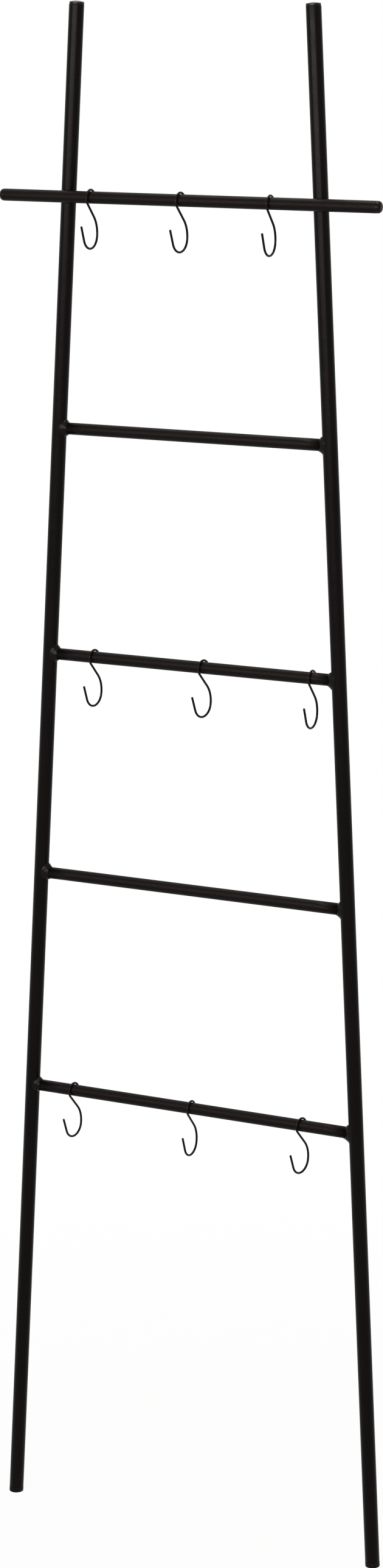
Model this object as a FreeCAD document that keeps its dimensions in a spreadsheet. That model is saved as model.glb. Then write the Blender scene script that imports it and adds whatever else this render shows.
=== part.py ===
import FreeCAD, Part
import math
import os
import Sketcher

# A tapered blanket ladder of welded steel tube, with wire hooks hanging on it.
# Millimetres. +X runs along the rungs, the front is -Y, and Z = 0 is the floor.
# X = 0 is the middle of the ladder, and Y = 0 the middle of its whole depth, hooks included.
# Two round rails lean in towards the top. A top bar lies across their front, and rungs run
# between them. Each joint is a weld bead, a piece of its own. Plugs close the open tube ends.

SIZES = (
    # alias, value, what it is
    ("ladder_height", 2100, "floor to the crown of the rail caps"),
    ("foot_spread", 562, "between the rail axes at the floor"),
    ("top_spread", 340, "between the rail axes at the full height"),
    ("rail_setback", 10.8, "the rails' feet behind the middle of the depth"),
    ("lean_back", 0.07, "degrees that the ladder leans back, which puts its weight over its feet"),
    ("rail_diameter", 20, "outside of a rail tube"),
    ("rail_wall", 1.5, "wall of a rail tube"),
    ("rung_diameter", 16, "outside of a rung tube and of the top bar"),
    ("rung_wall", 1.5, "wall of a rung tube and of the top bar"),
    ("rung_count", 4, "rungs below the top bar"),
    ("first_rung_rise", 616, "floor to the axis of the lowest rung"),
    ("top_bar_drop", 252, "crown of the rail caps down to the top bar's axis"),
    ("bar_length", 552, "top bar over its end caps"),
    ("weld_gap", 0.05, "room between two surfaces that a weld joins"),
    ("bead_leg", 4.5, "bead on the rail above and below a rung, out from the rung's surface"),
    ("bead_side_leg", 1.7, "the same in front of a rung and behind it"),
    ("bead_rise", 4, "bead on the rung, out from the rail's surface"),
    ("bead_round", 3.5, "rounding of that bead's crest"),
    ("cross_bead_radius", 3.5, "bead between the top bar and a rail"),
    ("cross_bead_length", 14, "that bead, along the bar"),
    ("cross_bead_round", 2.5, "rounding of that bead's two ends"),
    ("cross_bead_lift", 5.3, "its axis above or below the bar's axis"),
    ("cross_bead_reach", 2.5, "its axis in front of the rail's surface"),
    ("plug_play", 0.1, "room round a plug's stem in its tube"),
    ("plug_stem", 16, "length of a plug's stem"),
    ("cap_flange", 3, "thickness of a rail cap's flange"),
    ("cap_crown", 1.6, "rise of a rail cap's crown"),
    ("cap_inset", 0.4, "flange of a rail cap, in from the tube's surface"),
    ("foot_flange", 7, "height of a foot below its tube"),
    ("foot_overhang", 0.3, "foot, out from the tube's surface"),
    ("foot_round", 0.9, "rounding of a foot's lower edge"),
    ("bar_cap_length", 7, "top bar's end cap beyond its tube"),
    ("bar_cap_round", 5.5, "rounding of that cap's edge"),
    ("wire_diameter", 3, "hook wire"),
    ("wire_end_round", 0.5, "rounding of a wire's two ends"),
    ("eye_play", 1.1, "how much wider the eye's inside is than its bar, in radius"),
    ("eye_seat_gap", 0.5, "room between the eye and the top of its bar"),
    ("eye_wrap", 40, "degrees that the eye's end reaches below the bar's back"),
    ("eye_exit", 40, "degrees that the eye runs on below the bar's front"),
    ("shank_length", 24, "straight from the eye to the belly"),
    ("belly_radius", 32, "wire axis round the belly"),
    ("belly_turn", 52, "degrees of the belly"),
    ("bend_radius", 17, "wire axis round the lower bend"),
    ("bend_turn", 150, "degrees of the lower bend"),
    ("tip_length", 20, "straight from the bend to the tip"),
)

# The hooks, bar by bar: places along the bar, and how far each is turned about the vertical.
TOP_BAR_HOOKS = ((-141, -3), (-9, -7), (120, 0))
MIDDLE_RUNG_HOOKS = ((-148, -8), (17, -12), (177, -1))
LOWEST_RUNG_HOOKS = ((-183, -9), (0, -2), (167, -12))
MIDDLE_RUNG = 3
LOWEST_RUNG = 1

X_AXIS = FreeCAD.Vector(1, 0, 0)
Y_AXIS = FreeCAD.Vector(0, 1, 0)
Z_AXIS = FreeCAD.Vector(0, 0, 1)
SIDES = (("left", -1), ("right", 1))
PARTS_FOLDER = "parts"

doc = FreeCAD.newDocument("blanket_ladder")
sheet = doc.addObject("Spreadsheet::Sheet", "sizes")
parts = []


def fill_sheet():
    for row, (alias, size, note) in enumerate(SIZES, 1):
        sheet.set(f"A{row}", alias)
        sheet.set(f"B{row}", str(size))
        sheet.set(f"C{row}", note)
        sheet.setAlias(f"B{row}", alias)
    doc.recompute()


def number(expression):
    """The present value of an expression on the sheet's sizes."""
    result = sheet.evalExpression(expression)
    return float(getattr(result, "Value", result))


# Expressions that several pieces share.
RAIL_RADIUS = "sizes.rail_diameter / 2"
RAIL_BORE = "(sizes.rail_diameter / 2 - sizes.rail_wall)"
RUNG_RADIUS = "sizes.rung_diameter / 2"
RUNG_BORE = "(sizes.rung_diameter / 2 - sizes.rung_wall)"
TILT = "atan((sizes.foot_spread - sizes.top_spread) / 2 / sizes.ladder_height)"
CAP_HEIGHT = "(sizes.cap_flange + sizes.cap_crown)"
# From rung to rung, and from the last rung to the top bar.
RUNG_PITCH = "((sizes.ladder_height - sizes.top_bar_drop - sizes.first_rung_rise) / sizes.rung_count)"
# The hook wire's axis round the eye.
EYE_RADIUS = "(sizes.rung_diameter / 2 + sizes.wire_diameter / 2 + sizes.eye_play)"


# ---- where things are ---------------------------------------------------------------------

def tilt():
    """How far a rail leans in from the vertical, in degrees."""
    return number(TILT)


def rail_x(height):
    """Distance of a rail's axis from the middle, at a height."""
    return number("sizes.foot_spread / 2") - height * math.tan(math.radians(tilt()))


def rail_y():
    return number("sizes.rail_setback")


def leaning(point, rotation):
    """A placement on the upright ladder, turned back with it about the line of its feet."""
    back = FreeCAD.Rotation(X_AXIS, -number("sizes.lean_back"))
    feet = FreeCAD.Vector(0, rail_y(), 0)
    return FreeCAD.Placement(feet + back.multVec(point - feet), back.multiply(rotation))


def on_rail(side, along):
    """Placement with Z up the rail's axis, a distance along it from the floor."""
    rotation = FreeCAD.Rotation(Y_AXIS, -side * tilt())
    foot = FreeCAD.Vector(side * rail_x(0), rail_y(), 0)
    return leaning(foot + rotation.multVec(Z_AXIS * along), rotation)


def rung_height(index):
    """Height of rung 1 (the lowest), 2, ... The one after the last is the top bar."""
    return number("sizes.first_rung_rise") + (index - 1) * number(RUNG_PITCH)


def bar_height():
    return rung_height(int(number("sizes.rung_count")) + 1)


def bar_y():
    """The top bar lies on the front of the rails."""
    return rail_y() - number(f"{RAIL_RADIUS} + {RUNG_RADIUS} + sizes.weld_gap")


# ---- document helpers ---------------------------------------------------------------------

def bind(item, expressions):
    for name, expression in expressions.items():
        item.setExpression(name, expression)


def primitive(kind, name, placement, **expressions):
    item = doc.addObject(kind, name)
    bind(item, expressions)
    item.Placement = placement
    return item


def compound(name, items):
    group = doc.addObject("Part::Compound", name)
    group.Links = items
    return group


def boolean(kind, name, base, tool):
    result = doc.addObject(kind, name)
    result.Base = base
    result.Tool = tool
    return result


def rounded(name, base, radius, wanted):
    """A copy of base with a rounding on the edges for which wanted is true."""
    doc.recompute()
    size = number(radius)
    result = doc.addObject("Part::Fillet", name)
    result.Base = base
    result.Edges = [(i, size, size) for i, edge in enumerate(base.Shape.Edges, 1) if wanted(edge)]
    return result


def new_body(name):
    return doc.addObject("PartDesign::Body", name)


def new_sketch(body, name, role):
    plane = next(f for f in body.Origin.OriginFeatures if f.Role == role)
    sketch = body.newObject("Sketcher::SketchObject", name)
    sketch.AttachmentSupport = (plane, [""])
    sketch.MapMode = "FlatFace"
    return sketch


def constrain(sketch, expression, *constraint):
    """Adds a constraint of a size, and binds it to the expression for that size."""
    kind, *places = constraint
    size = number(expression)
    if kind == "Angle":
        size = math.radians(size)
    index = sketch.addConstraint(Sketcher.Constraint(kind, *places, size))
    sketch.setExpression(f"Constraints[{index}]", expression)


def add_circle(sketch, radius):
    """A circle about the sketch's origin."""
    circle = Part.Circle(FreeCAD.Vector(), Z_AXIS, number(radius))
    index = sketch.addGeometry(circle)
    sketch.addConstraint(Sketcher.Constraint("Coincident", index, 3, -1, 1))
    constrain(sketch, radius, "Radius", index)


def add_outline(sketch, corners, crowned=None):
    """A closed outline. Each corner is a pair of expressions, and "0" puts it on an axis.
    The side that follows the corner numbered crowned is an arc about a point of the upright axis."""
    points = [FreeCAD.Vector(number(x), number(y), 0) for x, y in corners]
    count = len(points)
    for i, start in enumerate(points):
        end = points[(i + 1) % count]
        if i == crowned:
            rise = end.y - start.y
            radius = (start.x ** 2 + rise ** 2) / (2 * rise)
            centre = FreeCAD.Vector(0, end.y - radius, 0)
            circle = Part.Circle(centre, Z_AXIS, radius)
            first = math.atan2(start.y - centre.y, start.x)
            sketch.addGeometry(Part.ArcOfCircle(circle, first, math.pi / 2))
            sketch.addConstraint(Sketcher.Constraint("PointOnObject", i, 3, -2))
        else:
            sketch.addGeometry(Part.LineSegment(start, end))
    for i in range(count):
        sketch.addConstraint(Sketcher.Constraint("Coincident", i, 2, (i + 1) % count, 1))
    for i, (x, y) in enumerate(corners):
        for expression, kind, axis in ((x, "DistanceX", -2), (y, "DistanceY", -1)):
            if expression == "0":
                sketch.addConstraint(Sketcher.Constraint("PointOnObject", i, 1, axis))
            else:
                constrain(sketch, expression, kind, -1, 1, i, 1)


def pad(body, sketch, length):
    feature = body.newObject("PartDesign::Pad", "pad")
    feature.Profile = sketch
    feature.setExpression("Length", length)
    sketch.Visibility = False
    return feature


def turn(body, sketch):
    """A full revolution about the sketch's upright axis."""
    feature = body.newObject("PartDesign::Revolution", "turned")
    feature.Profile = sketch
    feature.ReferenceAxis = (sketch, ["V_Axis"])
    feature.Angle = 360
    return feature


def round_edges(body, base, radius, wanted):
    """Rounds the edges of base for which wanted is true."""
    doc.recompute()
    names = [f"Edge{i}" for i, edge in enumerate(base.Shape.Edges, 1) if wanted(edge)]
    feature = body.newObject("PartDesign::Fillet", "rounding")
    feature.Base = (base, names)
    feature.setExpression("Radius", radius)
    return feature


def is_ring(edge, radius, height):
    """True for a circle about the Z axis with this radius, at this height."""
    curve = edge.Curve
    if not isinstance(curve, Part.Circle):
        return False
    return abs(curve.Radius - radius) < 1e-4 and abs(curve.Center.z - height) < 1e-4


def keep(item, label):
    """Makes an object one of the sub-parts, under its own name."""
    item.Label = label
    parts.append(item)
    return item


# ---- rails, plugs and feet ----------------------------------------------------------------

def tube(name, outer, bore, length, plane):
    body = new_body(name)
    sketch = new_sketch(body, "section", plane)
    add_circle(sketch, outer)
    add_circle(sketch, bore)
    pad(body, sketch, length)
    return body


def make_rail(name, side):
    length = f"sizes.ladder_height / cos({TILT}) - sizes.foot_flange - {CAP_HEIGHT}"
    rail = tube(name, RAIL_RADIUS, RAIL_BORE, length, "XY_Plane")
    rail.Placement = on_rail(side, number("sizes.foot_flange"))
    return keep(rail, name)


def make_rail_cap(name, side):
    """A plug in the top of a rail: a stem, and a flange with a low crown. Z = 0 is the tube's end."""
    body = new_body(name)
    sketch = new_sketch(body, "half_section", "XZ_Plane")
    stem = f"{RAIL_BORE} - sizes.plug_play"
    flange = f"{RAIL_RADIUS} - sizes.cap_inset"
    corners = (
        ("0", "-sizes.plug_stem"),
        (stem, "-sizes.plug_stem"),
        (stem, "0"),
        (flange, "0"),
        (flange, "sizes.cap_flange"),
        ("0", CAP_HEIGHT),
    )
    add_outline(sketch, corners, crowned=4)
    turn(body, sketch)
    length = number(f"sizes.ladder_height / cos({TILT}) - {CAP_HEIGHT}")
    body.Placement = on_rail(side, length)
    return keep(body, name)


def make_foot(name, side):
    """A plug in the bottom of a rail. Z = 0 is the floor at the rail's axis. The sole is cut level
    with the floor, across the lean of the rail."""
    body = new_body(f"{name}_turned")
    sketch = new_sketch(body, "half_section", "XZ_Plane")
    stem = f"{RAIL_BORE} - sizes.plug_play"
    outer = f"({RAIL_RADIUS} + sizes.foot_overhang)"
    spare = f"-({outer} - sizes.foot_round) * tan({TILT})"
    top = "sizes.foot_flange + sizes.plug_stem"
    corners = (
        ("0", spare),
        (outer, spare),
        (outer, "sizes.foot_flange"),
        (stem, "sizes.foot_flange"),
        (stem, top),
        ("0", top),
    )
    add_outline(sketch, corners)
    turned = turn(body, sketch)
    lowest = number(spare)
    round_edges(body, turned, "sizes.foot_round", lambda e: is_ring(e, number(outer), lowest))
    body.Placement = on_rail(side, 0)
    reach = "sizes.rail_diameter * 2"
    corner = FreeCAD.Vector(side * rail_x(0), rail_y(), 0)
    corner -= FreeCAD.Vector(number(reach) / 2, number(reach) / 2, number(reach))
    below = primitive("Part::Box", f"{name}_floor", FreeCAD.Placement(corner, FreeCAD.Rotation()),
                      Length=reach, Width=reach, Height=reach)
    return keep(boolean("Part::Cut", name, body, below), name)


# ---- rungs and top bar --------------------------------------------------------------------

def along_x(x, y, z):
    """Placement of a round piece that starts at a point and runs towards +X."""
    return leaning(FreeCAD.Vector(x, y, z), FreeCAD.Rotation(Y_AXIS, 90))


def inward(side, height):
    """Placement on a rail's axis, with Z towards the middle of the ladder."""
    point = FreeCAD.Vector(side * rail_x(height), rail_y(), height)
    return leaning(point, FreeCAD.Rotation(Y_AXIS, -90 * side))


def rung_span(index):
    """The distance between the rail axes at a rung, as an expression."""
    height = f"(sizes.first_rung_rise + {index - 1} * {RUNG_PITCH})"
    return f"sizes.foot_spread - 2 * {height} * tan({TILT})"


def make_rung(index, rails_outside):
    """A tube between the rails, with its ends shaped to the rails' round sides."""
    name = f"rung_{index}"
    blank = tube(f"{name}_tube", RUNG_RADIUS, RUNG_BORE, rung_span(index), "YZ_Plane")
    height = rung_height(index)
    start = FreeCAD.Vector(-rail_x(height), rail_y(), height)
    blank.Placement = leaning(start, FreeCAD.Rotation())
    return keep(boolean("Part::Cut", name, blank, rails_outside), name)


def make_top_bar():
    length = "sizes.bar_length - 2 * sizes.bar_cap_length"
    bar = tube("top_bar", RUNG_RADIUS, RUNG_BORE, length, "YZ_Plane")
    start = FreeCAD.Vector(-number(length) / 2, bar_y(), bar_height())
    bar.Placement = leaning(start, FreeCAD.Rotation())
    return keep(bar, "top_bar")


def make_bar_cap(name, side):
    """A plug in an end of the top bar, with a rounded nose. Z = 0 is the tube's end, +Z outward."""
    body = new_body(name)
    sketch = new_sketch(body, "half_section", "XZ_Plane")
    stem = f"{RUNG_BORE} - sizes.plug_play"
    corners = (
        ("0", "-sizes.plug_stem"),
        (stem, "-sizes.plug_stem"),
        (stem, "0"),
        (RUNG_RADIUS, "0"),
        (RUNG_RADIUS, "sizes.bar_cap_length"),
        ("0", "sizes.bar_cap_length"),
    )
    add_outline(sketch, corners)
    turned = turn(body, sketch)
    radius = number(RUNG_RADIUS)
    nose = number("sizes.bar_cap_length")
    round_edges(body, turned, "sizes.bar_cap_round", lambda e: is_ring(e, radius, nose))
    end = number("sizes.bar_length / 2 - sizes.bar_cap_length")
    place = FreeCAD.Vector(side * end, bar_y(), bar_height())
    body.Placement = leaning(place, FreeCAD.Rotation(Y_AXIS, 90 * side))
    return keep(body, name)


# ---- weld beads ---------------------------------------------------------------------------

def make_rung_bead(index, side_name, side, rail_outside, rung_outside):
    """A bead right round a rung's end. It follows the rail's round side, and is an oval seen along
    the rung, because the rail's side falls away in front and behind."""
    name = f"rung_{index}_{side_name}_weld"
    height = rung_height(index)
    oval = primitive("Part::Ellipse", f"{name}_oval", inward(side, height),
                     MajorRadius=f"{RUNG_RADIUS} + sizes.bead_leg",
                     MinorRadius=f"{RUNG_RADIUS} + sizes.bead_side_leg")
    collar = doc.addObject("Part::Extrusion", f"{name}_collar")
    collar.Base = oval
    collar.DirMode = "Normal"
    collar.Solid = True
    bind(collar, {"LengthFwd": "sizes.rail_diameter"})
    length = "2 * sizes.rung_diameter + 2 * sizes.bead_leg"
    along = height / math.cos(math.radians(tilt())) - number(length) / 2
    skin = primitive("Part::Cylinder", f"{name}_skin", on_rail(side, along),
                     Radius=f"{RAIL_RADIUS} + sizes.bead_rise", Height=length)
    blank = boolean("Part::Common", f"{name}_blank", collar, skin)

    def is_crest(edge):
        """An edge between two curved faces. The blank's own end on the rail's axis is flat."""
        sides = blank.Shape.ancestorsOfType(edge, Part.Face)
        return len(sides) == 2 and not any(isinstance(face.Surface, Part.Plane) for face in sides)

    crested = rounded(f"{name}_crested", blank, "sizes.bead_round", is_crest)
    tubes = compound(f"{name}_tubes", [rail_outside, rung_outside])
    return keep(boolean("Part::Cut", name, crested, tubes), name)


def make_cross_bead(name, side, up, rail_outside, bar_outside):
    """A bead in the notch between the top bar and a rail, above the bar or below it."""
    height = bar_height() + up * number("sizes.cross_bead_lift")
    x = side * rail_x(height) - number("sizes.cross_bead_length / 2")
    y = rail_y() - number(f"{RAIL_RADIUS} + sizes.cross_bead_reach")
    rod = primitive("Part::Cylinder", f"{name}_rod", along_x(x, y, height),
                    Radius="sizes.cross_bead_radius", Height="sizes.cross_bead_length")
    full_round = 2 * math.pi * number("sizes.cross_bead_radius")
    ended = rounded(f"{name}_ended", rod, "sizes.cross_bead_round",
                    lambda e: abs(e.Length - full_round) < 1e-3)
    tubes = compound(f"{name}_tubes", [rail_outside, bar_outside])
    return keep(boolean("Part::Cut", name, ended, tubes), name)


def outside_of_rail(name, side):
    """The room that a rail takes, with the gap that its welds leave."""
    return primitive("Part::Cylinder", f"{name}_outside", on_rail(side, 0),
                     Radius=f"{RAIL_RADIUS} + sizes.weld_gap", Height=f"sizes.ladder_height / cos({TILT})")


def outside_of_rung(name, length, y, height):
    """The room that a rung or the top bar takes, with the gap that its welds leave."""
    return primitive("Part::Cylinder", f"{name}_outside", along_x(-number(length) / 2, y, height),
                     Radius=f"{RUNG_RADIUS} + sizes.weld_gap", Height=length)


# ---- hooks --------------------------------------------------------------------------------

def add_hook_path(sketch):
    """The wire's axis, seen from the ladder's right end: sketch X is towards the back, sketch Y up.
    It starts behind the bar, goes over its top and down its front, and then back and down along
    the shank, round the belly and the lower bend, and up to the tip in front."""
    centre = FreeCAD.Vector()
    radius = number(EYE_RADIUS)
    first = -math.radians(number("sizes.eye_wrap"))
    last = math.pi + math.radians(number("sizes.eye_exit"))
    eye = Part.ArcOfCircle(Part.Circle(centre, Z_AXIS, radius), first, last)
    sketch.addGeometry(eye)
    point = eye.EndPoint
    heading = last + math.pi / 2

    def straight(length):
        nonlocal point
        end = point + FreeCAD.Vector(math.cos(heading), math.sin(heading), 0) * length
        sketch.addGeometry(Part.LineSegment(point, end))
        point = end

    def clockwise(radius, angle):
        nonlocal point, heading
        centre = point + FreeCAD.Vector(math.sin(heading), -math.cos(heading), 0) * radius
        start = heading + math.pi / 2
        arc = Part.ArcOfCircle(Part.Circle(centre, Z_AXIS, radius), start - angle, start)
        sketch.addGeometry(arc)
        point = arc.StartPoint
        heading -= angle

    straight(number("sizes.shank_length"))
    clockwise(number("sizes.belly_radius"), math.radians(number("sizes.belly_turn")))
    clockwise(number("sizes.bend_radius"), math.radians(number("sizes.bend_turn")))
    straight(number("sizes.tip_length"))

    eye, shank, belly, bend, tip = range(5)
    start, end, middle = 1, 2, 3
    sketch.addConstraint(Sketcher.Constraint("Coincident", eye, middle, -1, 1))
    sketch.addConstraint(Sketcher.Constraint("Tangent", eye, end, shank, start))
    sketch.addConstraint(Sketcher.Constraint("Tangent", shank, end, belly, end))
    sketch.addConstraint(Sketcher.Constraint("Tangent", belly, start, bend, end))
    sketch.addConstraint(Sketcher.Constraint("Tangent", bend, start, tip, start))
    constrain(sketch, EYE_RADIUS, "Radius", eye)
    constrain(sketch, "(180 + sizes.eye_wrap + sizes.eye_exit) * 1 deg", "Angle", eye)
    constrain(sketch, "(sizes.eye_exit - 90) * 1 deg", "Angle", shank)
    constrain(sketch, "sizes.shank_length", "Distance", shank)
    constrain(sketch, "sizes.belly_radius", "Radius", belly)
    constrain(sketch, "sizes.belly_turn * 1 deg", "Angle", belly)
    constrain(sketch, "sizes.bend_radius", "Radius", bend)
    constrain(sketch, "sizes.bend_turn * 1 deg", "Angle", bend)
    constrain(sketch, "sizes.tip_length", "Distance", tip)


def add_wire_section(sketch):
    """The wire's round section, where the eye starts. That plane goes through the bar's axis."""
    radius = "sizes.wire_diameter / 2"
    place = FreeCAD.Vector(0, number(EYE_RADIUS), 0)
    sketch.addGeometry(Part.Circle(place, Z_AXIS, number(radius)))
    sketch.addConstraint(Sketcher.Constraint("PointOnObject", 0, 3, -2))
    constrain(sketch, EYE_RADIUS, "DistanceY", -1, 1, 0, 3)
    constrain(sketch, radius, "Radius", 0)
    turned = "placement(vector(0; 0; 0); rotation(vector(1; 0; 0); -sizes.eye_wrap))"
    sketch.setExpression("AttachmentOffset", turned)


def make_hook(name, x, y, height, twist):
    """A wire hook that hangs loose on its bar. Its eye rests on the bar's top, so the eye's centre,
    which is the body's origin and what it swings about, is a little below the bar's axis."""
    body = new_body(name)
    path = new_sketch(body, "path", "YZ_Plane")
    add_hook_path(path)
    section = new_sketch(body, "section", "XY_Plane")
    add_wire_section(section)
    wire = body.newObject("PartDesign::AdditivePipe", "wire")
    wire.Profile = section
    wire.Spine = (path, [f"Edge{i}" for i in range(1, path.GeometryCount + 1)])
    wire_radius = number("sizes.wire_diameter / 2")

    def is_wire_end(edge):
        """The circle round a flat end, which alone has a plane face beside it."""
        sides = wire.Shape.ancestorsOfType(edge, Part.Face)
        flat = any(isinstance(face.Surface, Part.Plane) for face in sides)
        return flat and abs(edge.Length - 2 * math.pi * wire_radius) < 1e-3

    round_edges(body, wire, "sizes.wire_end_round", is_wire_end)
    doc.recompute()
    weight = body.Shape.Solids[0].CenterOfMass
    swing = math.degrees(math.atan2(-weight.y, -weight.z))
    drop = number("sizes.eye_play - sizes.eye_seat_gap")
    turned = FreeCAD.Rotation(Z_AXIS, twist).multiply(FreeCAD.Rotation(X_AXIS, swing))
    on_bar = leaning(FreeCAD.Vector(x, y, height), FreeCAD.Rotation()).Base
    body.Placement = FreeCAD.Placement(on_bar - Z_AXIS * drop, turned)
    return keep(body, name)


def make_hooks():
    rows = (
        ("top_hook", TOP_BAR_HOOKS, bar_y(), bar_height()),
        ("middle_hook", MIDDLE_RUNG_HOOKS, rail_y(), rung_height(MIDDLE_RUNG)),
        ("low_hook", LOWEST_RUNG_HOOKS, rail_y(), rung_height(LOWEST_RUNG)),
    )
    for row, places, y, height in rows:
        for index, (x, twist) in enumerate(places, 1):
            make_hook(f"{row}_{index}", x, y, height, twist)


# ---- the ladder ---------------------------------------------------------------------------

def make_ladder():
    rail_outsides = {}
    for name, side in SIDES:
        make_rail(f"{name}_rail", side)
        make_rail_cap(f"{name}_rail_cap", side)
        make_foot(f"{name}_foot", side)
        rail_outsides[side] = outside_of_rail(f"{name}_rail", side)
    both_rails = compound("rails_outside", list(rail_outsides.values()))

    for index in range(1, int(number("sizes.rung_count")) + 1):
        make_rung(index, both_rails)
        rung_outside = outside_of_rung(f"rung_{index}", rung_span(index), rail_y(), rung_height(index))
        for name, side in SIDES:
            make_rung_bead(index, name, side, rail_outsides[side], rung_outside)

    make_top_bar()
    bar_outside = outside_of_rung("top_bar", "sizes.bar_length", bar_y(), bar_height())
    for name, side in SIDES:
        make_bar_cap(f"{name}_bar_cap", side)
        make_cross_bead(f"top_bar_{name}_upper_weld", side, 1, rail_outsides[side], bar_outside)
        make_cross_bead(f"top_bar_{name}_lower_weld", side, -1, rail_outsides[side], bar_outside)
    make_hooks()
    doc.recompute()


def check():
    """Stops at a feature that failed, or at a sub-part whose shape isn't one sound solid."""
    for item in doc.Objects:
        if "Invalid" in item.State or "Error" in item.State:
            raise RuntimeError(f"{item.Name} failed: {item.State}")
    for part in parts:
        shape = part.Shape
        if shape.isNull() or not shape.isValid() or len(shape.Solids) != 1:
            raise RuntimeError(f"{part.Label} isn't one sound solid")


def export():
    os.makedirs(PARTS_FOLDER, exist_ok=True)
    for part in parts:
        part.Shape.exportStep(os.path.join(PARTS_FOLDER, f"{part.Label}.step"))


fill_sheet()
make_ladder()
check()
export()
print(len(parts), "parts")
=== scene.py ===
import math
import random

import bmesh
import bpy
from mathutils import Matrix, Vector, noise


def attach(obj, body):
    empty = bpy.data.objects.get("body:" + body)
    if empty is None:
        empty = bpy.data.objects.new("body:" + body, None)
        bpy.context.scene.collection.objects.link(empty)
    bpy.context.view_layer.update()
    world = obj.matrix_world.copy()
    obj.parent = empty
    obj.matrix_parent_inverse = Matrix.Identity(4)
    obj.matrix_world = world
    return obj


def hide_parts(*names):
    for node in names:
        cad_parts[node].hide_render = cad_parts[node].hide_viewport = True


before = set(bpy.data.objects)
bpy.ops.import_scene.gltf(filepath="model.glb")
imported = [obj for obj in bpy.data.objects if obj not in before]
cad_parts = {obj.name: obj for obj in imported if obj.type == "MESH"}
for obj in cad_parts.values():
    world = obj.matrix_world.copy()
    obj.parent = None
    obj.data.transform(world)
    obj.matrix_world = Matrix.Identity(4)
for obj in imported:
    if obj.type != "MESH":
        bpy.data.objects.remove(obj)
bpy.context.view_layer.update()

# A blanket ladder of black powder-coated steel tube, in metres. +X runs along the rungs, the front is -Y,
# and Z = 0 is the floor. These first sizes are those of the CAD part. The edges of the caps and feet, and
# the weld beads, have finer sizes of their own further down.
MM = 0.001
HEIGHT = 2100 * MM
FOOT_SPREAD = 562 * MM
TOP_SPREAD = 340 * MM
RAIL_Y = 10.8 * MM
LEAN_BACK = math.radians(0.07)
RAIL_RADIUS = 10 * MM
RUNG_RADIUS = 8 * MM
TUBE_WALL = 1.5 * MM
RUNG_HEIGHTS = [616 * MM, 924 * MM, 1232 * MM, 1540 * MM]
BAR_HEIGHT = 1848 * MM
BAR_LENGTH = 552 * MM
WELD_GAP = 0.05 * MM
BAR_Y = RAIL_Y - RAIL_RADIUS - RUNG_RADIUS - WELD_GAP
FOOT_HEIGHT = 7 * MM
CAP_FLANGE = 3 * MM
CAP_CROWN = 1.6 * MM
PLUG_STEM = 16 * MM
PLUG_PLAY = 0.1 * MM
BAR_CAP = 7 * MM
SIDES = (("left", -1), ("right", 1))

TILT = math.atan((FOOT_SPREAD - TOP_SPREAD) / 2 / HEIGHT)
RAIL_LENGTH = HEIGHT / math.cos(TILT)

# The whole ladder leans back about the line of its feet.
FEET = Vector((0, RAIL_Y, 0))
LEAN = Matrix.Translation(FEET) @ Matrix.Rotation(-LEAN_BACK, 4, "X") @ Matrix.Translation(-FEET)


# ---- places ---------------------------------------------------------------------------------

def rail_x(height):
    """How far each rail's axis is from the ladder's middle."""
    return FOOT_SPREAD / 2 - height * math.tan(TILT)


def rail_frame(side):
    """The floor end of a rail's axis, with Z up the axis."""
    turn = Matrix.Rotation(-side * TILT, 4, "Y")
    return LEAN @ Matrix.Translation((side * rail_x(0), RAIL_Y, 0)) @ turn


# ---- meshes ---------------------------------------------------------------------------------

AROUND = 96   # sides of a round piece


def face_outward(mesh):
    """Makes every face of a closed mesh look out of it, whichever way its points were listed."""
    shape = bmesh.new()
    shape.from_mesh(mesh)
    bmesh.ops.recalc_face_normals(shape, faces=shape.faces)
    if shape.calc_volume(signed=True) < 0:
        bmesh.ops.reverse_faces(shape, faces=shape.faces)
    shape.to_mesh(mesh)
    shape.free()


def new_piece(name, points, faces, material, replaces):
    """A smooth closed piece of the welded frame, in place of the CAD nodes that it replaces."""
    mesh = bpy.data.meshes.new(name)
    mesh.from_pydata([tuple(p) for p in points], [], faces)
    mesh.validate()
    face_outward(mesh)
    mesh.polygons.foreach_set("use_smooth", [True] * len(mesh.polygons))
    mesh.materials.append(material)
    piece = bpy.data.objects.new(name, mesh)
    bpy.context.scene.collection.objects.link(piece)
    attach(piece, "frame")
    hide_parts(*replaces)


def ring_faces(rings, around, closed=False):
    """Faces between successive rings of points. Each ring closes on itself."""
    faces = []
    last = rings if closed else rings - 1
    for i in range(last):
        a, b = i * around, (i + 1) % rings * around
        for j in range(around):
            k = (j + 1) % around
            faces.append((a + j, a + k, b + k, b + j))
    return faces


def arc(centre, radius, start, end, steps):
    """Points (r, z) on an arc, with angles in degrees from the r axis."""
    points = []
    for i in range(steps + 1):
        angle = math.radians(start + (end - start) * i / steps)
        points.append((centre[0] + radius * math.cos(angle), centre[1] + radius * math.sin(angle)))
    return points


def turned(name, profile, place, material, replaces, closed=False, level=None):
    """A turned piece. profile is (r, z) from its first end to its last. A closed profile is a ring's
    section. A point with r = 0 closes an end. level gives a floor that no point goes under."""
    points, rings = [], []
    for r, z in profile:
        if r == 0:
            rings.append([len(points)])
            points.append(place @ Vector((0, 0, z)))
            continue
        ring = []
        for j in range(AROUND):
            angle = 2 * math.pi * j / AROUND
            ring.append(len(points))
            points.append(place @ Vector((r * math.cos(angle), r * math.sin(angle), z)))
        rings.append(ring)
    if level is not None:
        for p in points:
            p.z = max(p.z, level)
    faces = []
    following = rings[1:] + rings[:1] if closed else rings[1:]
    for a, b in zip(rings, following):
        for j in range(AROUND):
            k = (j + 1) % AROUND
            if len(a) == 1:
                faces.append((a[0], b[k], b[j]))
            elif len(b) == 1:
                faces.append((a[j], a[k], b[0]))
            else:
                faces.append((a[j], a[k], b[k], b[j]))
    new_piece(name, points, faces, material, replaces)


# ---- materials ------------------------------------------------------------------------------

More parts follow.
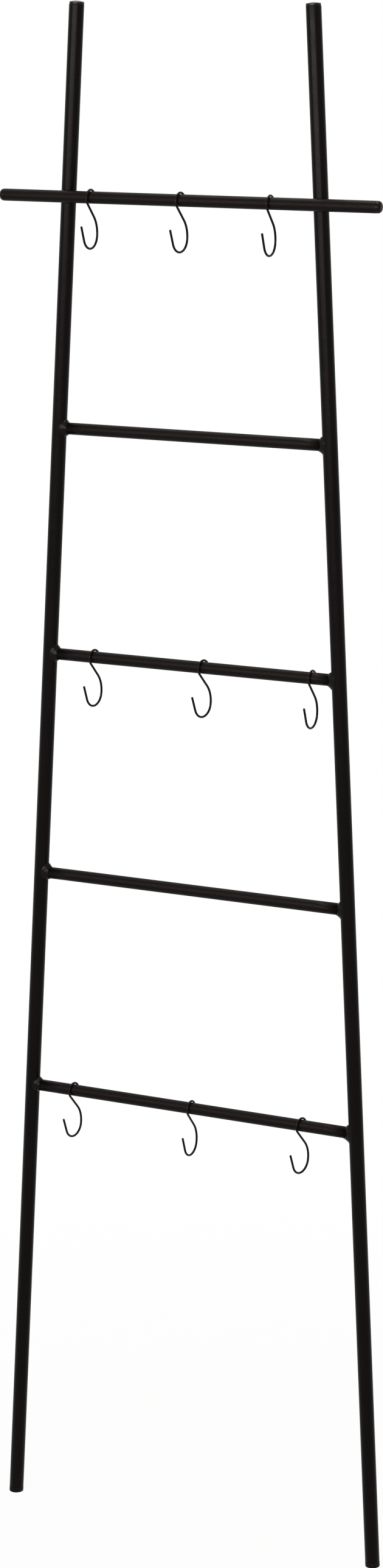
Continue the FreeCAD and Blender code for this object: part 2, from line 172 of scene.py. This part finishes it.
MIX_FIRST, MIX_SECOND, MIX_RESULT = 6, 7, 2   # a Mix node's colour sockets

WARM_GLOSS = (1.0, 0.86, 0.83, 1)             # a brown-black coat warms what it reflects
DUST_TONE = (0.12, 0.10, 0.09)
SCUFF_TONE = (0.09, 0.075, 0.068)
COAT_GRAIN = 0.17 * MM                        # the depth of a powder coat's grain, where grain is 1
PLASTIC_GRAIN = 0.04 * MM                     # and of a moulded plastic's texture


class Nodes:
    """A short way to write a material's nodes."""

    def __init__(self, name):
        self.material = bpy.data.materials.new(name)
        self.material.use_nodes = True
        self.tree = self.material.node_tree
        self.tree.nodes.clear()
        self.output = self.add("ShaderNodeOutputMaterial")
        self.place = self.add("ShaderNodeTexCoord").outputs["Object"]

    def add(self, kind, **settings):
        node = self.tree.nodes.new(kind)
        for key, value in settings.items():
            setattr(node, key, value)
        return node

    def link(self, source, target):
        self.tree.links.new(source, target)

    def noise(self, scale, detail=2.0, roughness=0.5):
        """Soft lumps. The scale is about how many there are to a metre."""
        node = self.add("ShaderNodeTexNoise")
        for key, number in (("Scale", scale), ("Detail", detail), ("Roughness", roughness)):
            node.inputs[key].default_value = number
        self.link(self.place, node.inputs["Vector"])
        return node.outputs["Fac"]

    def cells(self, scale):
        """The distance to the nearest of many scattered points, about as many to a metre as the scale."""
        node = self.add("ShaderNodeTexVoronoi")
        node.inputs["Scale"].default_value = scale
        self.link(self.place, node.inputs["Vector"])
        return node.outputs["Distance"]

    def spread(self, value, low, high, to_low=0.0, to_high=1.0):
        """A value from one range stretched over another, and kept inside it."""
        node = self.add("ShaderNodeMapRange", clamp=True)
        for key, number in (("From Min", low), ("From Max", high), ("To Min", to_low), ("To Max", to_high)):
            node.inputs[key].default_value = number
        self.link(value, node.inputs["Value"])
        return node.outputs["Result"]

    def blend(self, factor, first, second):
        """A colour between two, each a colour or a socket."""
        node = self.add("ShaderNodeMix", data_type="RGBA")
        self.link(factor, node.inputs["Factor"])
        for source, target in ((first, node.inputs[MIX_FIRST]), (second, node.inputs[MIX_SECOND])):
            if isinstance(source, tuple):
                target.default_value = (*source, 1)
            else:
                self.link(source, target)
        return node.outputs[MIX_RESULT]

    def combine(self, operation, first, second):
        """Arithmetic on two values, each a socket or a number."""
        node = self.add("ShaderNodeMath", operation=operation)
        for source, target in ((first, node.inputs[0]), (second, node.inputs[1])):
            if isinstance(source, (int, float)):
                target.default_value = source
            else:
                self.link(source, target)
        return node.outputs[0]

    def bump(self, height, distance, under=None):
        """The normal over a relief of a depth in metres, on top of another relief if there is one."""
        node = self.add("ShaderNodeBump")
        node.inputs["Strength"].default_value = 1
        node.inputs["Distance"].default_value = distance
        self.link(height, node.inputs["Height"])
        if under is not None:
            self.link(under, node.inputs["Normal"])
        return node.outputs["Normal"]

    def shader(self, colour, roughness, normal, **fixed):
        """Gives the material its surface. fixed holds the sockets that are the same all over it."""
        node = self.add("ShaderNodeBsdfPrincipled")
        self.link(colour, node.inputs["Base Color"])
        self.link(roughness, node.inputs["Roughness"])
        self.link(normal, node.inputs["Normal"])
        for key, value in fixed.items():
            node.inputs[key.replace("_", " ")].default_value = value
        self.link(node.outputs["BSDF"], self.output.inputs["Surface"])
        return self.material


def powder_coat(name, tone, warm, satin, grain, gloss):
    """Satin powder coat: a grain of about a millimetre that breaks up its highlights, uneven tone, painted
    shade in the grain's hollows, and a few pale dust marks. satin is about its mean roughness."""
    n = Nodes(name)
    fine = n.noise(1000, detail=2, roughness=0.55)
    specks = n.noise(950, detail=1)
    slow = n.noise(9, detail=3)
    patches = n.noise(70, detail=4, roughness=0.65)
    grain_hollow_shade = tuple(0.35 * c for c in tone)
    speck_tone = tuple(2.0 * c for c in warm)
    tint = n.blend(n.spread(slow, 0.35, 0.65), tone, warm)
    # painted shade: the coat is darker in the hollows of its grain, where the same noise sets the relief
    tint = n.blend(n.spread(fine, 0.30, 0.52, 0.85, 0.0), tint, grain_hollow_shade)
    tint = n.blend(n.spread(specks, 0.55, 0.75, 0.0, 0.6), tint, speck_tone)
    dots = n.spread(n.cells(420), 0.0, 0.11, 1.0, 0.0)
    dusty = n.spread(n.noise(95, detail=2), 0.63, 0.7)
    dust = n.combine("MULTIPLY", dots, n.combine("MULTIPLY", dusty, 0.4))
    tint = n.blend(dust, tint, DUST_TONE)
    rough = n.combine("ADD", n.spread(patches, 0.3, 0.7, satin - 0.04, satin + 0.06),
                      n.spread(fine, 0.3, 0.7, -0.05, 0.05))
    normal = n.bump(fine, COAT_GRAIN * grain)
    return n.shader(tint, rough, normal, Specular_IOR_Level=gloss, Specular_Tint=WARM_GLOSS)


def coated_wire(name):
    """The hooks' smoother, browner dip coat, with faint runs and a few paler specks."""
    n = Nodes(name)
    slow = n.noise(60, detail=3)
    fine = n.noise(1900, detail=2)
    runs = n.noise(240, detail=2, roughness=0.6)
    tone = (0.0040, 0.0026, 0.0022)
    warm = (0.0068, 0.0044, 0.0038)
    speck_tone = (0.028, 0.020, 0.017)
    tint = n.blend(n.spread(slow, 0.35, 0.65), tone, warm)
    tint = n.blend(n.spread(fine, 0.62, 0.8, 0.0, 0.5), tint, speck_tone)
    rough = n.spread(runs, 0.3, 0.7, 0.17, 0.26)
    normal = n.bump(runs, 0.03 * MM)
    normal = n.bump(fine, 0.01 * MM, under=normal)
    return n.shader(tint, rough, normal, Specular_IOR_Level=0.085, Specular_Tint=WARM_GLOSS)


def moulded(name, tone, satin, gloss, grain=1.0):
    """Moulded plastic with a fine spark-eroded texture and light scuffs. satin is about its mean
    roughness."""
    n = Nodes(name)
    fine = n.noise(2400, detail=2)
    slow = n.noise(110, detail=3)
    scuff = n.noise(500, detail=4, roughness=0.7)
    warm = (tone[0] * 1.7, tone[1] * 1.45, tone[2] * 1.35)
    tint = n.blend(n.spread(slow, 0.3, 0.7), tone, warm)
    tint = n.blend(n.spread(scuff, 0.6, 0.75, 0.0, 0.35), tint, SCUFF_TONE)
    rough = n.spread(scuff, 0.3, 0.7, satin - 0.06, satin + 0.08)
    normal = n.bump(fine, PLASTIC_GRAIN * grain)
    return n.shader(tint, rough, normal, Specular_IOR_Level=gloss, Specular_Tint=WARM_GLOSS)


rail_coat = powder_coat("rail_coat", tone=(0.0020, 0.0015, 0.0015), warm=(0.0031, 0.0023, 0.0022),
                        satin=0.26, grain=0.4, gloss=0.065)
# painted shade: the rungs and top bar get a darker, browner copy of the rails' coat, for how light falls on
# level tubes
rung_coat = powder_coat("rung_coat", tone=(0.0015, 0.0010, 0.0008), warm=(0.0026, 0.0018, 0.0015),
                        satin=0.44, grain=0.9, gloss=0.085)
weld_coat = powder_coat("weld_coat", tone=(0.0016, 0.0012, 0.0011), warm=(0.0028, 0.0021, 0.0019),
                        satin=0.27, grain=0.3, gloss=0.10)
wire_coat = coated_wire("wire_coat")
cap_plastic = moulded("cap_plastic", tone=(0.0045, 0.0032, 0.0028), satin=0.12, gloss=0.16, grain=0.15)
nose_plastic = moulded("nose_plastic", tone=(0.0018, 0.0012, 0.0010), satin=0.32, gloss=0.10)
foot_plastic = moulded("foot_plastic", tone=(0.0034, 0.0027, 0.0027), satin=0.40, gloss=0.065)


# ---- tubes, plugs and feet ------------------------------------------------------------------

EDGE = 0.08 * MM           # the small rounding of a cut tube's end
BAR_EDGE = 0.3 * MM        # the same on the outside of the top bar's ends
RING_PITCH = 40 * MM       # between the rings of points along a tube
STEM_ROUND = 1 * MM        # the rounding of a plug's inner end

CAP_SHIFT = 0.2 * MM       # a rail cap sits this far towards the ladder's middle
CAP_INSET = 0.22 * MM      # its flange, in from the tube's surface
CAP_LOWER_ROUND = 0.3 * MM
CAP_UPPER_ROUND = 0.7 * MM
CAP_ROUND_TURN = 78        # degrees of the upper rounding, which then meets the crown
STEM_INSET = 0.7 * MM      # its stem between the ribs, in from the tube's bore
RIB_COUNT = 3
FIRST_RIB = 3              # the ribs along the stem, in millimetres
RIB_PITCH = 3.6
RIB_SLOPE = 1.1            # where one reaches its full width
RIB_CREST = 1.4            # where it starts to narrow again
RIB_END = 1.8
RIB_PLAY = 0.05 * MM       # room between a rib and the bore, on the side the cap is shifted to

FOOT_PROUD = 0.02 * MM     # a foot's collar, out from the tube's surface
FOOT_ROUND = 0.9 * MM      # the rounding of its lower edge
FOOT_SEAM = 0.06 * MM      # and of its upper edge

NOSE_INSET = 0.06 * MM     # a bar cap's side, in from the bar's surface
NOSE_ROUND = 5 * MM        # the rounding of its nose
NOSE_SEAM = 0.12 * MM      # and of its edge against the bar


def tube_profile(outer, start, end, rounding=EDGE):
    """The closed section of a tube's wall, with its end edges rounded. Long runs have rings of their own
    along them, so that the wall's points stay evenly placed."""
    inner = outer - TUBE_WALL
    steps = max(2, int((end - start) / RING_PITCH))
    wall = [(outer, start + rounding + (end - start - 2 * rounding) * i / steps) for i in range(1, steps)]
    bore = [(inner, z) for _, z in reversed(wall)]
    return (arc((outer - rounding, start + rounding), rounding, -90, 0, 6) + wall
            + arc((outer - rounding, end - rounding), rounding, 0, 90, 6)
            + arc((inner + EDGE, end - EDGE), EDGE, 90, 180, 4) + bore
            + arc((inner + EDGE, start + EDGE), EDGE, 180, 270, 4))


def stem_end(radius, z):
    """The profile of a plug's inner end, from its middle out to the stem's side."""
    return [(0, z)] + arc((radius - STEM_ROUND, z + STEM_ROUND), STEM_ROUND, -90, 0, 4)


def make_rail(name, side):
    profile = tube_profile(RAIL_RADIUS, FOOT_HEIGHT, RAIL_LENGTH - CAP_FLANGE - CAP_CROWN)
    turned(name + "_tube", profile, rail_frame(side), rail_coat, closed=True,
           replaces=[name])


def make_rail_cap(name, side):
    """A plug's flange with rounded edges and a low crown, on a ribbed stem in the tube."""
    base = RAIL_LENGTH - CAP_FLANGE - CAP_CROWN
    outer = RAIL_RADIUS - CAP_INSET
    bore = RAIL_RADIUS - TUBE_WALL
    rib = bore - CAP_SHIFT - RIB_PLAY
    stem = bore - STEM_INSET
    profile = stem_end(stem, base - PLUG_STEM)
    for index in range(RIB_COUNT):
        z = base - PLUG_STEM + (FIRST_RIB + RIB_PITCH * index) * MM
        profile += [(stem, z), (rib, z + RIB_SLOPE * MM)]
        profile += [(rib, z + RIB_CREST * MM), (stem, z + RIB_END * MM)]
    profile += [(stem, base), (outer - CAP_LOWER_ROUND, base)]
    profile += arc((outer - CAP_LOWER_ROUND, base + CAP_LOWER_ROUND), CAP_LOWER_ROUND, -90, 0, 3)[1:]
    # the crown is part of a ball, whose centre is on the cap's axis
    ball = (outer ** 2 + CAP_CROWN ** 2) / (2 * CAP_CROWN)
    centre = base + CAP_FLANGE + CAP_CROWN - ball
    reach = math.degrees(math.asin((outer - CAP_UPPER_ROUND) / ball))
    crown = []
    for i in range(10):
        angle = math.radians(reach * (1 - i / 10))
        crown.append((ball * math.sin(angle), centre + ball * math.cos(angle)))
    shoulder = (outer - CAP_UPPER_ROUND, crown[0][1] - CAP_UPPER_ROUND)
    profile += arc(shoulder, CAP_UPPER_ROUND, 0, CAP_ROUND_TURN, 6) + crown[1:]
    profile += [(0, base + CAP_FLANGE + CAP_CROWN)]
    place = rail_frame(side) @ Matrix.Translation((-side * CAP_SHIFT, 0, 0))
    turned(name + "_plug", profile, place, cap_plastic, replaces=[name])


def make_foot(name, side):
    """A foot's collar, with a rounded lower edge and a sole level with the floor."""
    outer = RAIL_RADIUS + FOOT_PROUD
    sole = outer - FOOT_ROUND
    low = -sole * math.tan(TILT)
    stem = RAIL_RADIUS - TUBE_WALL - PLUG_PLAY
    top = FOOT_HEIGHT + PLUG_STEM
    profile = [(0, low)] + [(sole * i / 4, low) for i in range(1, 4)]
    profile += arc((sole, low + FOOT_ROUND), FOOT_ROUND, -90, 0, 8)
    profile += arc((outer - FOOT_SEAM, FOOT_HEIGHT - FOOT_SEAM), FOOT_SEAM, 0, 90, 3)
    profile += [(stem, FOOT_HEIGHT)]
    profile += arc((stem - STEM_ROUND, top - STEM_ROUND), STEM_ROUND, 0, 90, 4) + [(0, top)]
    turned(name + "_plug", profile, rail_frame(side), foot_plastic, level=0.0,
           replaces=[name])


def make_bar_cap(name, side):
    """A plug with a rounded nose. A fine groove shows where it meets the bar."""
    end = BAR_LENGTH / 2 - BAR_CAP
    widest = RUNG_RADIUS - NOSE_INSET
    stem = RUNG_RADIUS - TUBE_WALL - PLUG_PLAY
    turn = Matrix.Rotation(side * math.pi / 2, 4, "Y")
    place = LEAN @ Matrix.Translation((side * end, BAR_Y, BAR_HEIGHT)) @ turn
    profile = stem_end(stem, -PLUG_STEM) + [(stem, 0)]
    profile += arc((widest - NOSE_SEAM, NOSE_SEAM), NOSE_SEAM, -90, 0, 6)
    profile += arc((widest - NOSE_ROUND, BAR_CAP - NOSE_ROUND), NOSE_ROUND, 0, 90, 14) + [(0, BAR_CAP)]
    turned(name + "_plug", profile, place, nose_plastic, replaces=[name])


def make_top_bar():
    end = BAR_LENGTH / 2 - BAR_CAP
    profile = tube_profile(RUNG_RADIUS, -end, end, rounding=BAR_EDGE)
    place = LEAN @ Matrix.Translation((0, BAR_Y, BAR_HEIGHT)) @ Matrix.Rotation(math.pi / 2, 4, "Y")
    turned("top_bar_tube", profile, place, rung_coat, closed=True, replaces=["top_bar"])


def reach_of_rail(y, z):
    """How far in from a rail's axis its surface is, along X, at a point (y, z) about the rung's axis.
    The rail leans, so a higher point is further in. Past the surface's side, it gives its edge."""
    across = math.sqrt(max(RAIL_RADIUS ** 2 - y ** 2, 0)) / math.cos(TILT)
    return across + z * math.tan(TILT)


def make_rung(index):
    """A tube between the rails, with ends that follow the rails' round sides."""
    height = RUNG_HEIGHTS[index - 1]
    half = rail_x(height)
    steps = 12
    points = []
    for radius in (RUNG_RADIUS, RUNG_RADIUS - TUBE_WALL):
        for i in range(steps + 1):
            share = i / steps
            for j in range(AROUND):
                angle = 2 * math.pi * j / AROUND
                y, z = radius * math.cos(angle), radius * math.sin(angle)
                cut = reach_of_rail(y, z) + WELD_GAP
                x = (half - cut) * (2 * share - 1)
                points.append(LEAN @ Vector((x, RAIL_Y + y, height + z)))
    rings = steps + 1
    outer = ring_faces(rings, AROUND)
    inner = [tuple(v + rings * AROUND for v in face) for face in outer]
    ends = []
    for ring in (0, rings - 1):
        a, b = ring * AROUND, (ring + rings) * AROUND
        for j in range(AROUND):
            k = (j + 1) % AROUND
            ends.append((a + j, a + k, b + k, b + j))
    new_piece(f"rung_{index}_tube", points, outer + inner + ends, rung_coat,
              replaces=[f"rung_{index}"])


# ---- weld beads -----------------------------------------------------------------------------

# Each rung bead in millimetres: its legs along the rail and along the rung, above the rung and then
# below it, and how hollow it is above and below as a share of its shorter leg.
RUNG_BEADS = {
    (1, "left"): (3.4, 3.9, 1.4, 1.4, 0.0, 0.0),
    (1, "right"): (4.6, 5.2, 6.3, 9.6, 0.06, 0.22),
    (2, "left"): (5.8, 5.1, 2.4, 4.5, 0.0, 0.0),
    (2, "right"): (3.4, 3.9, 5.6, 7.7, 0.12, 0.22),
    (3, "left"): (4.8, 3.5, 3.4, 4.1, 0.0, 0.06),
    (3, "right"): (3.4, 5.1, 5.7, 7.1, 0.0, 0.20),
    (4, "left"): (4.3, 3.1, 3.3, 4.3, 0.0, 0.0),
    (4, "right"): (4.3, 4.5, 5.8, 7.2, 0.06, 0.20),
}
SIDE_LEGS = {"left": (3.4, 9.0), "right": (4.0, 5.0)}   # the same in front of the rung and behind it

# The rest of a rung bead's sizes, in millimetres.
LEG_WANDER = 0.3
RIPPLE_HEIGHT = {"left": 0.24, "right": 0.12}
CREST = 0.30           # how far it swells past a straight line between its edges
CREST_WANDER = 0.14
LUMP_LENGTH = 3.2
LUMP_HEIGHT = 0.45
EDGE_DEPTH = 0.12      # its edges run this far under the tubes' surfaces
ROOT_DEPTH = 0.6       # and its root this far

PUDDLE_LAP = 0.55      # how far a puddle bows over the one before, as a share of a puddle
PACE_WANDER = 0.022    # how unevenly the puddles follow one another, as a share of the bead
WAVE_COUNT = 4

# A bar bead's sizes, in millimetres.
BAR_BEAD_RISE = 5.3        # its notch, above or below the bar's axis
BAR_BEAD_LIFT = 0.15       # and the bead's own axis beyond that
BAR_BEAD_FRONT = 2.5       # its axis in front of the rail's surface
BAR_BEAD_LENGTH = 13.2
BAR_BEAD_RADIUS = 2.7
BAR_BEAD_WANDER = 0.2
BAR_BEAD_RIPPLE = 0.2
BAR_BEAD_SWAY = 0.25       # how far its axis wanders to the front and back
BAR_BEAD_TIP = 0.02        # the radius of its two ends

BAR_BEAD_PUDDLES = 6
BAR_BEAD_LAP = 0.3         # how far a puddle bows, as a share of a puddle
BAR_BEAD_FULLNESS = 1.25   # how soon it reaches its full radius from its ends


def ripple(phase):
    """The height of one puddle of a weld, from 0 in the valley to 1 on its crest."""
    t = phase % 1.0
    return math.sin(math.pi * t ** 0.8) ** 0.7


def wander(chance):
    """A smooth closed curve of chance size, about 0."""
    waves = [(k, chance.uniform(-1, 1) / k, chance.uniform(0, 2 * math.pi))
             for k in range(1, WAVE_COUNT + 1)]
    return lambda t: sum(size * math.sin(2 * math.pi * k * t + turn) for k, size, turn in waves)


def toward(middle, above, below, sin):
    """A size round a rung: middle at the front and back, above on top and below underneath."""
    return middle + (above - middle) * max(sin, 0) ** 1.5 + (below - middle) * max(-sin, 0) ** 1.5


def surface_normal(point, axis):
    """Out from a rail's axis, which goes through the origin."""
    return (point - axis * point.dot(axis)).normalized()


def on_surface(point, axis, radius):
    """The place nearest to a point on a round surface about the axis."""
    return axis * point.dot(axis) + surface_normal(point, axis) * radius


def make_rung_bead(index, side_name, side):
    """A rippled bead round a rung's end. Its section is a fillet between the rail and the rung, and its
    edges run out on both. Each puddle laps over the one before, and so its ripple bows along the bead."""
    name = f"rung_{index}_{side_name}_weld"
    chance = random.Random(name)
    height = RUNG_HEIGHTS[index - 1]
    centre = Vector((side * rail_x(height), RAIL_Y, height))
    axis = Vector((-side * math.sin(TILT), 0, math.cos(TILT)))
    puddles = chance.choice((15, 16, 17))
    lump_place = Vector([chance.uniform(0, 50) for _ in range(3)])
    start = chance.random()
    rail_wave, rung_wave, crest_wave, pace = (wander(chance) for _ in range(4))
    strengths = [chance.uniform(0.15, 1.0) for _ in range(puddles)]
    around, across = 300, 15
    over_rail, over_rung, under_rail, under_rung, over_hollow, under_hollow = RUNG_BEADS[index, side_name]
    side_rail, side_rung = SIDE_LEGS[side_name]
    points = []
    for i in range(around):
        t = i / around
        angle = 2 * math.pi * t
        cos, sin = math.cos(angle), math.sin(angle)
        rail_leg = (toward(side_rail, over_rail, under_rail, sin) + LEG_WANDER * rail_wave(t)) * MM
        rung_leg = (toward(side_rung, over_rung, under_rung, sin) + LEG_WANDER * rung_wave(t)) * MM
        hollow = toward(0, over_hollow, under_hollow, sin) * min(rail_leg, rung_leg)
        # the ripples are plainest on top of the rung, and nearly smoothed away underneath it
        rippled = RIPPLE_HEIGHT[side_name] * toward(0.4, 1.0, 0.15, sin) * MM
        swell = (CREST + CREST_WANDER * crest_wave(t)) * MM
        along = puddles * (t + PACE_WANDER * pace(t)) + start
        # the corner where the tubes meet, and how the rail's and the rung's surfaces face there
        y, z = RUNG_RADIUS * cos, RUNG_RADIUS * sin
        corner = Vector((-side * reach_of_rail(y, z), y, z))
        outward = Vector((0, cos, sin))
        normal = surface_normal(corner, axis)
        # the bead's edge on the rail: out from the rung's surface, then back onto the rail's round side
        slide = (outward - normal * outward.dot(normal)).normalized()
        rail_edge = on_surface(corner + slide * rail_leg, axis, RAIL_RADIUS - EDGE_DEPTH * MM)
        rung_edge = corner + Vector((-side * rung_leg, 0, 0)) - outward * EDGE_DEPTH * MM
        root = corner - outward * ROOT_DEPTH * MM - normal * ROOT_DEPTH * MM
        bulge_way = (normal + outward).normalized()
        for j in range(across):
            v = j / (across - 1)
            bow = 1 - (2 * v - 1) ** 2
            phase = along - PUDDLE_LAP * bow
            strength = strengths[int(math.floor(phase)) % puddles]
            crest = swell + rippled * strength * (ripple(phase) - 0.5) - hollow
            base = rail_edge.lerp(rung_edge, v)
            lump = noise.noise(base / (LUMP_LENGTH * MM) + lump_place) * LUMP_HEIGHT * MM
            # it runs out on the rung without an edge, and stands a little higher on the rail
            lift = bow ** (0.8 if v < 0.5 else 1.5) * (crest + lump)
            points.append(LEAN @ (centre + base + bulge_way * lift))
        points.append(LEAN @ (centre + root))
    new_piece(f"{name}_bead", points, ring_faces(around, across + 1, closed=True), weld_coat,
              replaces=[name])


def make_bar_bead(bar_side, side, up):
    """A short rippled bead in the notch between the top bar and a rail's front."""
    name = f"top_bar_{bar_side}_{'upper' if up > 0 else 'lower'}_weld"
    chance = random.Random(name)
    height = BAR_HEIGHT + up * BAR_BEAD_RISE * MM
    x = side * rail_x(height)
    y = RAIL_Y - RAIL_RADIUS - BAR_BEAD_FRONT * MM
    length = BAR_BEAD_LENGTH * MM
    along, around = 90, 40
    start = chance.random()
    wave, side_wave = wander(chance), wander(chance)
    points = []
    for i in range(along + 1):
        t = i / along
        # the bead narrows almost to a point at both ends
        end = min(1.0, math.sqrt(max(0.0, 1 - (2 * t - 1) ** 2)) * BAR_BEAD_FULLNESS)
        wide = (BAR_BEAD_RADIUS + BAR_BEAD_WANDER * wave(t)) * MM
        for j in range(around):
            angle = 2 * math.pi * j / around
            phase = BAR_BEAD_PUDDLES * t + start + BAR_BEAD_LAP * math.cos(angle - up * math.pi / 2)
            size = wide + BAR_BEAD_RIPPLE * MM * (ripple(phase) - 0.5)
            radius = max(size * end, BAR_BEAD_TIP * MM)
            points.append(LEAN @ Vector((
                x + (t - 0.5) * length,
                y + BAR_BEAD_SWAY * MM * side_wave(t) + radius * math.cos(angle),
                height + up * BAR_BEAD_LIFT * MM + radius * math.sin(angle),
            )))
    ends = [tuple(range(around)), tuple(range(along * around, (along + 1) * around))]
    new_piece(f"{name}_bead", points, ring_faces(along + 1, around) + ends, weld_coat,
              replaces=[name])


for side_name, side in SIDES:
    make_rail(f"{side_name}_rail", side)
    make_rail_cap(f"{side_name}_rail_cap", side)
    make_foot(f"{side_name}_foot", side)
    make_bar_cap(f"{side_name}_bar_cap", side)
    for up in (1, -1):
        make_bar_bead(side_name, side, up)
make_top_bar()
for index in range(1, len(RUNG_HEIGHTS) + 1):
    make_rung(index)
    for side_name, side in SIDES:
        make_rung_bead(index, side_name, side)

# The hooks' wire keeps its CAD shape.
for name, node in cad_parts.items():
    if "hook" in name:
        node.data.materials.clear()
        node.data.materials.append(wire_coat)


# ---- floor, light and camera ----------------------------------------------------------------

WHITE = (1, 1, 1, 1)
WORLD_LEVEL = (0.25, 0.25, 0.26, 1)

FLOOR_REACH = 2.5
FLOOR_SIDES = 128
SHADOW_REACH = 0.35       # within this the floor shows the most of its shadow
WHITE_REACH = 1.6         # and beyond this none
NEAR_WHITENESS = 0.94     # how white it still is by the feet

CAMERA_PLACE = (2.151, -4.268 + RAIL_Y, 2.144)
CAMERA_TURNS = (26.75, 12.646, 0.114)   # degrees of yaw, pitch and roll
CAMERA_LENS = 83.7
CAMERA_SENSOR = 36


def make_floor():
    """A pale round floor. It is white where it ends, and keeps the ladder's shadow near the feet."""
    n = Nodes("pale_floor")
    tint = n.blend(n.spread(n.noise(3, detail=3), 0.3, 0.7), (0.78, 0.78, 0.78), (0.80, 0.80, 0.80))
    rough = n.spread(n.noise(40), 0.3, 0.7, 0.6, 0.7)
    n.shader(tint, rough, n.bump(n.noise(300), 0.1 * MM), Specular_IOR_Level=0.2)
    shader = n.output.inputs["Surface"].links[0].from_socket
    glow = n.add("ShaderNodeEmission")
    glow.inputs["Color"].default_value = WHITE
    path = n.add("ShaderNodeLightPath")
    indirect = n.combine("MAXIMUM", path.outputs["Is Glossy Ray"], path.outputs["Is Transmission Ray"])
    seen = n.combine("MAXIMUM", path.outputs["Is Camera Ray"], indirect)
    away = n.add("ShaderNodeVectorMath", operation="LENGTH")
    n.link(n.place, away.inputs[0])
    whiteness = n.spread(away.outputs["Value"], SHADOW_REACH, WHITE_REACH, NEAR_WHITENESS, 1.0)
    mix = n.add("ShaderNodeMixShader")
    n.link(n.combine("MULTIPLY", seen, whiteness), mix.inputs["Fac"])
    n.link(shader, mix.inputs[1])
    n.link(glow.outputs[0], mix.inputs[2])
    n.link(mix.outputs[0], n.output.inputs["Surface"])
    turns = [2 * math.pi * i / FLOOR_SIDES for i in range(FLOOR_SIDES)]
    mesh = bpy.data.meshes.new("floor")
    rim = [(FLOOR_REACH * math.cos(a), FLOOR_REACH * math.sin(a), 0) for a in turns]
    mesh.from_pydata(rim, [], [tuple(range(FLOOR_SIDES))])
    mesh.materials.append(n.material)
    floor = bpy.data.objects.new("floor", mesh)
    bpy.context.scene.collection.objects.link(floor)


def make_world():
    """White to the camera and in gloss. An even, plain level for the rest."""
    world = bpy.data.worlds.new("studio")
    bpy.context.scene.world = world
    world.use_nodes = True
    tree = world.node_tree
    tree.nodes.clear()
    add, link = tree.nodes.new, tree.links.new
    output = add("ShaderNodeOutputWorld")
    path = add("ShaderNodeLightPath")
    seen = path.outputs["Is Camera Ray"]
    for ray in ("Is Glossy Ray", "Is Transmission Ray"):
        either = add("ShaderNodeMath")
        either.operation = "MAXIMUM"
        link(seen, either.inputs[0])
        link(path.outputs[ray], either.inputs[1])
        seen = either.outputs[0]
    level = add("ShaderNodeMix")
    level.data_type = "RGBA"
    link(seen, level.inputs["Factor"])
    level.inputs[MIX_FIRST].default_value = WORLD_LEVEL
    level.inputs[MIX_SECOND].default_value = WHITE
    background = add("ShaderNodeBackground")
    link(level.outputs[MIX_RESULT], background.inputs["Color"])
    background.inputs["Strength"].default_value = 1
    link(background.outputs[0], output.inputs["Surface"])


def make_lamp(name, place, aim, width, height, power, colour):
    """A soft rectangular lamp that the camera doesn't see."""
    lamp = bpy.data.lights.new(name, "AREA")
    lamp.shape = "RECTANGLE"
    lamp.size, lamp.size_y = width, height
    lamp.energy = power
    lamp.color = colour
    obj = bpy.data.objects.new(name, lamp)
    bpy.context.scene.collection.objects.link(obj)
    obj.location = place
    obj.rotation_euler = (Vector(aim) - Vector(place)).to_track_quat("-Z", "Y").to_euler()
    obj.visible_camera = False


def make_camera():
    """The photograph's camera. It leans with the ladder."""
    yaw, pitch, roll = (math.radians(a) for a in CAMERA_TURNS)
    forward = Vector((-math.sin(yaw) * math.cos(pitch), math.cos(yaw) * math.cos(pitch), -math.sin(pitch)))
    right = Vector((math.cos(yaw), math.sin(yaw), 0))
    up = right.cross(forward)
    right, up = (right * math.cos(roll) + up * math.sin(roll), up * math.cos(roll) - right * math.sin(roll))
    axes = Matrix((right, up, -forward)).transposed().to_4x4()
    lens = bpy.data.cameras.new("camera")
    lens.lens = CAMERA_LENS
    lens.sensor_width = CAMERA_SENSOR
    lens.clip_start = 0.1
    lens.clip_end = 100
    camera = bpy.data.objects.new("camera", lens)
    bpy.context.scene.collection.objects.link(camera)
    camera.matrix_world = LEAN @ Matrix.Translation(CAMERA_PLACE) @ axes
    bpy.context.scene.camera = camera


make_floor()
make_world()
make_lamp("key", place=(0.0, -3.3, 2.2), aim=(0, 0, 1.9), width=4.6, height=1.1, power=135,
          colour=(0.97, 0.98, 1.0))
make_lamp("overhead", place=(0.1, 0.15, 4.3), aim=(0, 0, 1.0), width=2.6, height=0.8, power=80,
          colour=(1.0, 0.88, 0.80))
make_camera()
bpy.context.scene.view_settings.view_transform = "Standard"
